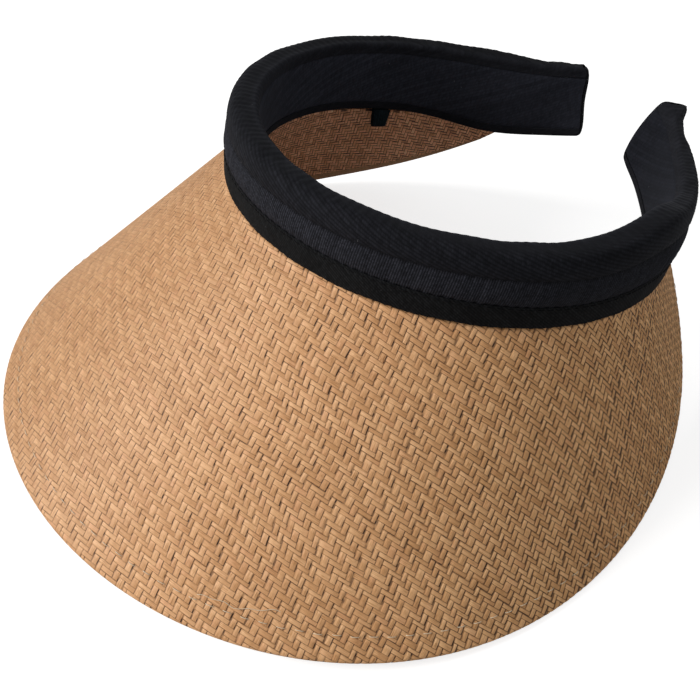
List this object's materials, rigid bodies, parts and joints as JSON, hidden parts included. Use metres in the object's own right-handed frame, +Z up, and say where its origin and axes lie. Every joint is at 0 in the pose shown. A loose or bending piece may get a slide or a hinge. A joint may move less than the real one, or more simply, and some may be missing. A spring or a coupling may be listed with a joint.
{
  "type": "sun visor",
  "caption": "Clip-on sun visor: wide woven straw brim sewn under a padded C-shaped spring headband, open at the back.",
  "frame": {"origin": "bottom centre of the bounding box, in the plane the visor rests on with its brim down", "axes": "+Z up at rest, the wearer faces -Y, +X is the wearer's left; the headband's own plane is tipped back 9.8 degrees about X, because the visor rests on the two sides of its rim"},
  "size_m": [0.2494, 0.2838, 0.1035],
  "materials": {
    "straw_sheet": "matt woven paper straw, camel",
    "straw_underside": "matt woven paper straw, camel",
    "stiffener_sheet": "plain translucent sheet",
    "rim_thread": "clear to pale monofilament thread",
    "tape_cover": "black twill tape, slight sheen",
    "hem_tape": "black twill tape, matt",
    "hem_thread": "black polyester thread",
    "lining_tape": "black soft tape, matt",
    "foam_pad": "dark open-cell foam",
    "spring_strip": "natural plastic strip",
    "loop_tape": "blue-black woven tape"
  },
  "bodies": {
    "front": {"front_brim_stiffener": "stiffener_sheet", "front_brim_straw": "straw_sheet", "front_brim_underside": "straw_underside", "front_cover": "tape_cover", "front_foam_pad": "foam_pad", "front_hem_stitching": "hem_thread", "front_hem_tape": "hem_tape", "front_lining": "lining_tape", "front_rim_stitching": "rim_thread", "front_spring": "spring_strip"},
    "left_arm": {"left_brim_stiffener": "stiffener_sheet", "left_brim_straw": "straw_sheet", "left_brim_underside": "straw_underside", "left_cord_loop": "loop_tape", "left_cover": "tape_cover", "left_end_cap": "tape_cover", "left_foam_pad": "foam_pad", "left_hem_stitching": "hem_thread", "left_hem_tape": "hem_tape", "left_lining": "lining_tape", "left_rim_stitching": "rim_thread", "left_spring": "spring_strip"},
    "right_arm": {"right_brim_stiffener": "stiffener_sheet", "right_brim_straw": "straw_sheet", "right_brim_underside": "straw_underside", "right_cord_loop": "loop_tape", "right_cover": "tape_cover", "right_end_cap": "tape_cover", "right_foam_pad": "foam_pad", "right_hem_stitching": "hem_thread", "right_hem_tape": "hem_tape", "right_lining": "lining_tape", "right_rim_stitching": "rim_thread", "right_spring": "spring_strip"}
  },
  "joints": [
    {"name": "left_arm_flex", "type": "hinge", "parent": "front", "child": "left_arm", "pos_m": [0.07203, 0.02916, 0.06559], "axis": [0, -0.1702, -0.9854], "range_deg": [-5, 15], "stiffness_Nm_per_rad": 0.5},
    {"name": "right_arm_flex", "type": "hinge", "parent": "front", "child": "right_arm", "pos_m": [-0.07203, 0.02916, 0.06559], "axis": [0, 0.1702, 0.9854], "range_deg": [-5, 15], "stiffness_Nm_per_rad": 0.5}
  ]
}
